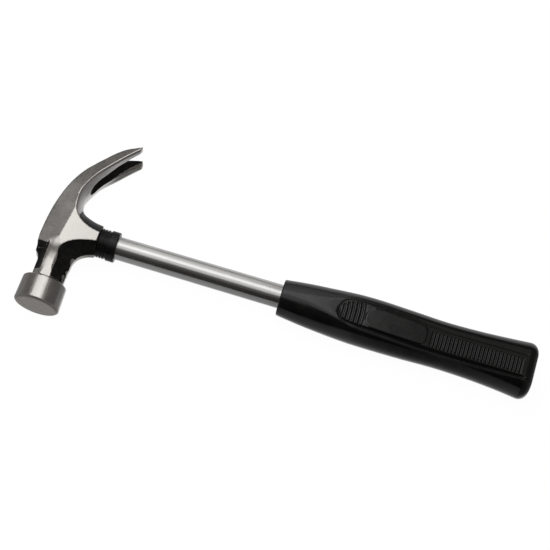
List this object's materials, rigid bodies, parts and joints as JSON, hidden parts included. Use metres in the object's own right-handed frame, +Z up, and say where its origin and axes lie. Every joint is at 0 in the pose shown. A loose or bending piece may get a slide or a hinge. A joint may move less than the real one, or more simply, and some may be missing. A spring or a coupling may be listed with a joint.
{
  "type": "claw hammer",
  "caption": "Claw hammer with a forged steel head, plastic collar, plated steel tube handle and moulded rubber grip with ribbed side panels.",
  "frame": {"origin": "centre of the hammer's box, on the surface that it lies on", "axes": "+X along the handle to the butt, +Y towards the claws, -Y towards the striking face, +Z up out of the side that it lies on"},
  "size_m": [0.3214, 0.1176, 0.029],
  "materials": {
    "head_steel": "ground and satin polished, with black paint left in the forged recesses",
    "tube_plate": "bright plated",
    "wedge_steel": "turned",
    "core_wood": "plain turned hardwood",
    "plug_plastic": "as moulded",
    "collar_plastic": "semi-gloss black",
    "grip_rubber": "satin black moulding"
  },
  "bodies": {
    "root": {"head": "head_steel", "shaft_tube": "tube_plate", "eye_wedge": "wedge_steel", "tube_core": "core_wood", "tube_end_plug": "plug_plastic", "collar": "collar_plastic", "grip": "grip_rubber"}
  },
  "joints": []
}
